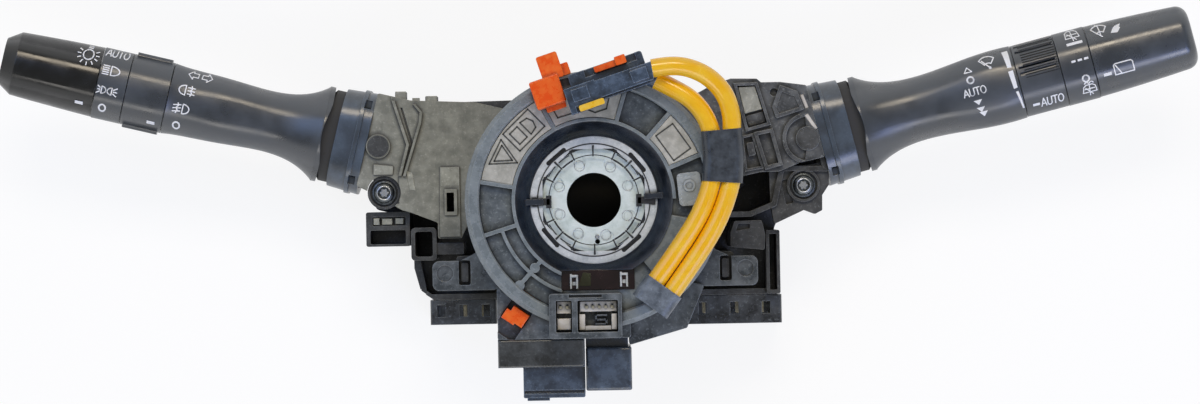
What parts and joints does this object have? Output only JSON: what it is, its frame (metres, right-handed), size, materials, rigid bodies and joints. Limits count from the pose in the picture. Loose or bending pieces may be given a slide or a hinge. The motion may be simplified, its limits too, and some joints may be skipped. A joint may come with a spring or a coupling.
{
  "type": "combination stalk switch",
  "caption": "Steering-column combination switch: lighting and wiper stalks either side of a spiral cable, with a clamp sleeve, plug sockets and two airbag leads.",
  "frame": {"origin": "steering-column axis at the plane under the column sleeve and the two side connectors", "axes": "+Z along the column axis towards the driver, +X across the car along the two stalks, +Y away from the driver's knees"},
  "size_m": [0.4505, 0.1429, 0.1058],
  "materials": {
    "black_plastic": "satin moulded",
    "grain_plastic": "fine grain",
    "stalk_plastic": "satin",
    "knob_plastic": "high gloss",
    "collar_plastic": "semi gloss",
    "rotor_plastic": "satin moulded",
    "sleeve_plastic": "high gloss",
    "natural_plastic": "translucent natural",
    "hub_metal": "satin",
    "steel": "zinc plated",
    "circuit_board": "lacquered",
    "terminal_metal": "tinned",
    "ribbon": "film",
    "window_plastic": "clear smoked",
    "clip_plastic": "translucent grey",
    "lead_sleeve": "gloss",
    "boot_rubber": "satin",
    "tape": "woven tape",
    "connector_blue": "satin",
    "connector_black": "satin",
    "orange_plastic": "gloss",
    "yellow_plastic": "gloss"
  },
  "bodies": {
    "base": {"switch_bracket": "black_plastic", "clamp_band": "steel", "clamp_screw": "steel", "left_case": "black_plastic", "left_cover": "grain_plastic", "left_collar": "collar_plastic", "right_case": "black_plastic", "right_cover": "black_plastic", "right_collar": "collar_plastic", "case_screws": "steel", "circuit_boards": "circuit_board", "left_connector": "black_plastic", "right_connector": "black_plastic", "terminals": "terminal_metal", "sensor_case": "black_plastic", "sensor_cover": "black_plastic", "stator_case": "black_plastic", "stator_base": "black_plastic", "flat_cable": "ribbon", "stator_connector": "black_plastic", "stator_lid": "knob_plastic", "heater_connector": "black_plastic"},
    "rotor": {"rotor_disc": "rotor_plastic", "hub_sleeve": "sleeve_plastic", "snap_ring": "natural_plastic", "hub_plate": "hub_metal", "cable_window": "window_plastic", "rotor_socket": "rotor_plastic", "socket_pins": "terminal_metal", "rotor_clip": "clip_plastic", "sensor_gear": "natural_plastic", "lead_a": "lead_sleeve", "lead_b": "lead_sleeve", "lead_boot": "boot_rubber", "lead_wrap": "tape", "squib_connector_a": "connector_blue", "squib_connector_b": "connector_black", "squib_plug": "orange_plastic"},
    "turn_holder": {"turn_holder": "black_plastic", "turn_cross_pin": "steel"},
    "turn_plunger": {"turn_plunger": "natural_plastic"},
    "cancel_pawl": {"cancel_pawl": "natural_plastic"},
    "light_lever": {"light_lever": "stalk_plastic", "light_label_ring": "stalk_plastic"},
    "light_knob": {"light_knob": "knob_plastic", "light_shaft": "steel"},
    "fog_ring": {"fog_ring": "stalk_plastic"},
    "wiper_holder": {"wiper_holder": "black_plastic", "wiper_cross_pin": "steel"},
    "wiper_plunger": {"wiper_plunger": "natural_plastic"},
    "wiper_lever": {"wiper_lever": "stalk_plastic", "wiper_label_ring": "stalk_plastic"},
    "rear_wiper_knob": {"rear_wiper_knob": "stalk_plastic", "wiper_shaft": "steel"},
    "interval_ring": {"interval_ring": "stalk_plastic"},
    "transit_lock": {"transit_lock": "orange_plastic"},
    "connector_lock_a": {"connector_lock_a": "yellow_plastic"},
    "connector_lock_b": {"connector_lock_b": "orange_plastic"},
    "magnet_gear_1": {"magnet_gear_1": "natural_plastic"},
    "magnet_gear_2": {"magnet_gear_2": "natural_plastic"}
  },
  "joints": [
    {"name": "rotor_turn", "type": "hinge", "parent": "base", "child": "rotor", "pos_m": [0, 0, 0.06], "axis": [0, 0, 1], "range_deg": [-900, 900]},
    {"name": "turn_swing", "type": "hinge", "parent": "base", "child": "turn_holder", "pos_m": [-0.0806, 0.0216, 0.034], "axis": [0, 0, 1], "range_deg": [-13, 13]},
    {"name": "turn_plunger_slide", "type": "slide", "parent": "turn_holder", "child": "turn_plunger", "axis": [0.9703, -0.2419, 0], "range_m": [-0.0015, 0.0005], "stiffness_N_per_m": 400},
    {"name": "cancel_pawl_slide", "type": "slide", "parent": "base", "child": "cancel_pawl", "axis": [1, 0, 0], "range_m": [0, 0.003], "stiffness_N_per_m": 200},
    {"name": "light_pull", "type": "hinge", "parent": "turn_holder", "child": "light_lever", "pos_m": [-0.0806, 0.0216, 0.034], "axis": [-0.2419, -0.9703, 0], "range_deg": [-7, 6], "stiffness_Nm_per_rad": 3},
    {"name": "light_switch_turn", "type": "hinge", "parent": "light_lever", "child": "light_knob", "pos_m": [-0.0806, 0.0216, 0.034], "axis": [-0.965, 0.2406, 0.1045], "range_deg": [0, 66]},
    {"name": "fog_ring_turn", "type": "hinge", "parent": "light_lever", "child": "fog_ring", "pos_m": [-0.0806, 0.0216, 0.034], "axis": [-0.965, 0.2406, 0.1045], "range_deg": [0, 44]},
    {"name": "wiper_swing", "type": "hinge", "parent": "base", "child": "wiper_holder", "pos_m": [0.0806, 0.0216, 0.034], "axis": [0, 0, 1], "range_deg": [-13, 8]},
    {"name": "wiper_plunger_slide", "type": "slide", "parent": "wiper_holder", "child": "wiper_plunger", "axis": [-0.9703, -0.2419, 0], "range_m": [-0.0015, 0.0005], "stiffness_N_per_m": 400},
    {"name": "washer_pull", "type": "hinge", "parent": "wiper_holder", "child": "wiper_lever", "pos_m": [0.0806, 0.0216, 0.034], "axis": [-0.2419, 0.9703, 0], "range_deg": [-7, 0], "stiffness_Nm_per_rad": 3},
    {"name": "interval_turn", "type": "hinge", "parent": "wiper_lever", "child": "interval_ring", "pos_m": [0.0806, 0.0216, 0.034], "axis": [0.965, 0.2406, 0.1045], "range_deg": [-30, 30]},
    {"name": "rear_wiper_turn", "type": "hinge", "parent": "wiper_lever", "child": "rear_wiper_knob", "pos_m": [0.0806, 0.0216, 0.034], "axis": [0.965, 0.2406, 0.1045], "range_deg": [-40, 40]},
    {"name": "transit_lock_slide", "type": "slide", "parent": "base", "child": "transit_lock", "axis": [-0.5736, -0.8192, 0], "range_m": [0, 0.003]},
    {"name": "lock_a_slide", "type": "slide", "parent": "rotor", "child": "connector_lock_a", "axis": [-0.9511, -0.309, 0], "range_m": [0, 0.0006]},
    {"name": "lock_b_slide", "type": "slide", "parent": "rotor", "child": "connector_lock_b", "axis": [0.9511, 0.309, 0], "range_m": [-0.002, 0.002]},
    {"name": "magnet_gear_1_turn", "type": "hinge", "parent": "base", "child": "magnet_gear_1", "pos_m": [0.01561, 0.02936, 0.056], "axis": [0, 0, 1], "range_deg": [-3060, 3060]},
    {"name": "magnet_gear_2_turn", "type": "hinge", "parent": "base", "child": "magnet_gear_2", "pos_m": [-0.01561, 0.02936, 0.056], "axis": [0, 0, 1], "range_deg": [-3060, 3060]}
  ],
  "couplings": [
    {"joint": "magnet_gear_1_turn", "follows": "rotor_turn", "ratio": -3.4},
    {"joint": "magnet_gear_2_turn", "follows": "rotor_turn", "ratio": -3.4}
  ]
}
